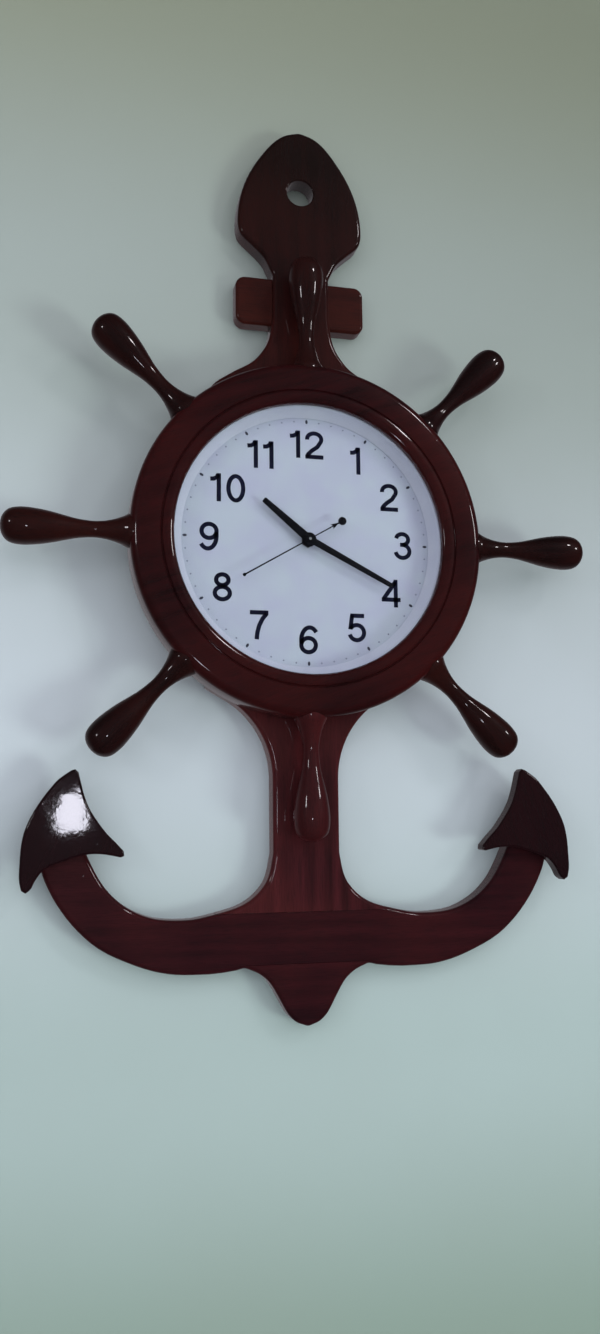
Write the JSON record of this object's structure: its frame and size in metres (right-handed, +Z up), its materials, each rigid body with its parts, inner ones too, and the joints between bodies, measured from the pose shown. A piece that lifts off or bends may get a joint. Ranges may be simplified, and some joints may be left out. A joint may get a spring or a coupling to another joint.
{
  "type": "wooden wall clock",
  "caption": "Nautical wooden wall clock: a ship's wheel with turned handles on an anchor board, holding a round quartz clock with hour, minute and second hands.",
  "frame": {"origin": "the point the clock hangs from: the top of the round hanging hole in the anchor's head, on the wall plane", "axes": "+Z up, -Y out of the wall towards the viewer, +X to the viewer's right; the flat backs of the boards lie on Y = 0"},
  "size_m": [0.524, 0.051, 0.813],
  "materials": {
    "lacquered_wood": "high-gloss lacquer over dark mahogany stain",
    "handle_wood": "high-gloss lacquer over red-brown stain",
    "plain_wood": "bare hardboard and dowel",
    "steel": "zinc plated",
    "clear_glass": "polished",
    "ring_plastic": "glossy pale silver",
    "dial_face": "printed matt cool white",
    "case_plastic": "moulded black",
    "brass": "turned",
    "rubber": "matt",
    "battery_skin": "plain sleeve",
    "copper_wire": "enamelled winding",
    "board_green": "solder mask",
    "gear_plastic": "moulded natural",
    "hand_black": "satin black"
  },
  "bodies": {
    "clock_body": {"anchor_head": "lacquered_wood", "stock_bar": "lacquered_wood", "shank_board": "lacquered_wood", "arm_board": "lacquered_wood", "crown_tip": "lacquered_wood", "fluke_left": "lacquered_wood", "fluke_right": "lacquered_wood", "shank_dowel_left": "plain_wood", "shank_dowel_right": "plain_wood", "wheel_rim": "lacquered_wood", "wheel_handle_1": "handle_wood", "wheel_handle_2": "handle_wood", "wheel_handle_3": "handle_wood", "wheel_handle_4": "handle_wood", "wheel_handle_5": "handle_wood", "wheel_handle_6": "handle_wood", "wheel_handle_7": "handle_wood", "wheel_handle_8": "handle_wood", "rim_screw_1": "steel", "rim_screw_2": "steel", "rim_screw_3": "steel", "rim_screw_4": "steel", "fluke_screw_1": "steel", "fluke_screw_2": "steel", "fluke_screw_3": "steel", "fluke_screw_4": "steel", "dial_clip_1": "steel", "dial_clip_2": "steel", "dial_clip_3": "steel", "dial_clip_4": "steel", "clip_screw_1": "steel", "clip_screw_2": "steel", "clip_screw_3": "steel", "clip_screw_4": "steel", "dial_glass": "clear_glass", "dial_ring": "ring_plastic", "dial_plate": "dial_face", "dial_backing": "plain_wood", "movement_front_case": "case_plastic", "movement_rear_case": "case_plastic", "stem_nut": "brass", "stem_washer": "rubber", "battery": "battery_skin", "contact_plus": "steel", "contact_minus": "steel", "stator": "steel", "coil": "copper_wire", "circuit_board": "board_green"},
    "second_train": {"second_hand": "hand_black", "second_wheel": "gear_plastic"},
    "third_train": {"third_wheel": "gear_plastic"},
    "centre_train": {"centre_wheel": "gear_plastic"},
    "intermediate_train": {"intermediate_wheel": "gear_plastic"},
    "rotor_train": {"rotor": "gear_plastic"},
    "minute_train": {"minute_hand": "hand_black", "cannon_pinion": "brass"},
    "hour_train": {"hour_hand": "hand_black", "hour_wheel": "gear_plastic"},
    "motion_train": {"motion_wheel": "gear_plastic"},
    "knob_train": {"set_knob": "case_plastic"}
  },
  "joints": [
    {"name": "second_hand_turn", "type": "hinge", "parent": "clock_body", "child": "second_train", "pos_m": [0, -0.03, -0.3485], "axis": [0, 1, 0], "continuous": true},
    {"name": "third_wheel_turn", "type": "hinge", "parent": "clock_body", "child": "third_train", "pos_m": [0.009, -0.017, -0.3485], "axis": [0, 1, 0], "continuous": true},
    {"name": "centre_wheel_turn", "type": "hinge", "parent": "clock_body", "child": "centre_train", "pos_m": [0, -0.019, -0.3485], "axis": [0, 1, 0], "continuous": true},
    {"name": "intermediate_wheel_turn", "type": "hinge", "parent": "clock_body", "child": "intermediate_train", "pos_m": [-0.00779, -0.015, -0.344], "axis": [0, 1, 0], "continuous": true},
    {"name": "rotor_turn", "type": "hinge", "parent": "clock_body", "child": "rotor_train", "pos_m": [-0.01129, -0.014, -0.33794], "axis": [0, 1, 0], "continuous": true},
    {"name": "minute_hand_turn", "type": "hinge", "parent": "clock_body", "child": "minute_train", "pos_m": [0, -0.03, -0.3485], "axis": [0, 1, 0], "continuous": true},
    {"name": "hour_hand_turn", "type": "hinge", "parent": "clock_body", "child": "hour_train", "pos_m": [0, -0.03, -0.3485], "axis": [0, 1, 0], "continuous": true},
    {"name": "motion_wheel_turn", "type": "hinge", "parent": "clock_body", "child": "motion_train", "pos_m": [0.004, -0.021, -0.34157], "axis": [0, 1, 0], "continuous": true},
    {"name": "set_knob_turn", "type": "hinge", "parent": "clock_body", "child": "knob_train", "pos_m": [0.01127, -0.012, -0.33737], "axis": [0, 1, 0], "continuous": true}
  ],
  "couplings": [
    {"joint": "third_wheel_turn", "follows": "second_hand_turn", "ratio": -0.13333},
    {"joint": "centre_wheel_turn", "follows": "second_hand_turn", "ratio": 0.016667},
    {"joint": "intermediate_wheel_turn", "follows": "second_hand_turn", "ratio": -6},
    {"joint": "rotor_turn", "follows": "second_hand_turn", "ratio": 30},
    {"joint": "hour_hand_turn", "follows": "minute_hand_turn", "ratio": 0.083333},
    {"joint": "motion_wheel_turn", "follows": "minute_hand_turn", "ratio": -0.33333},
    {"joint": "set_knob_turn", "follows": "minute_hand_turn", "ratio": 0.83333}
  ]
}
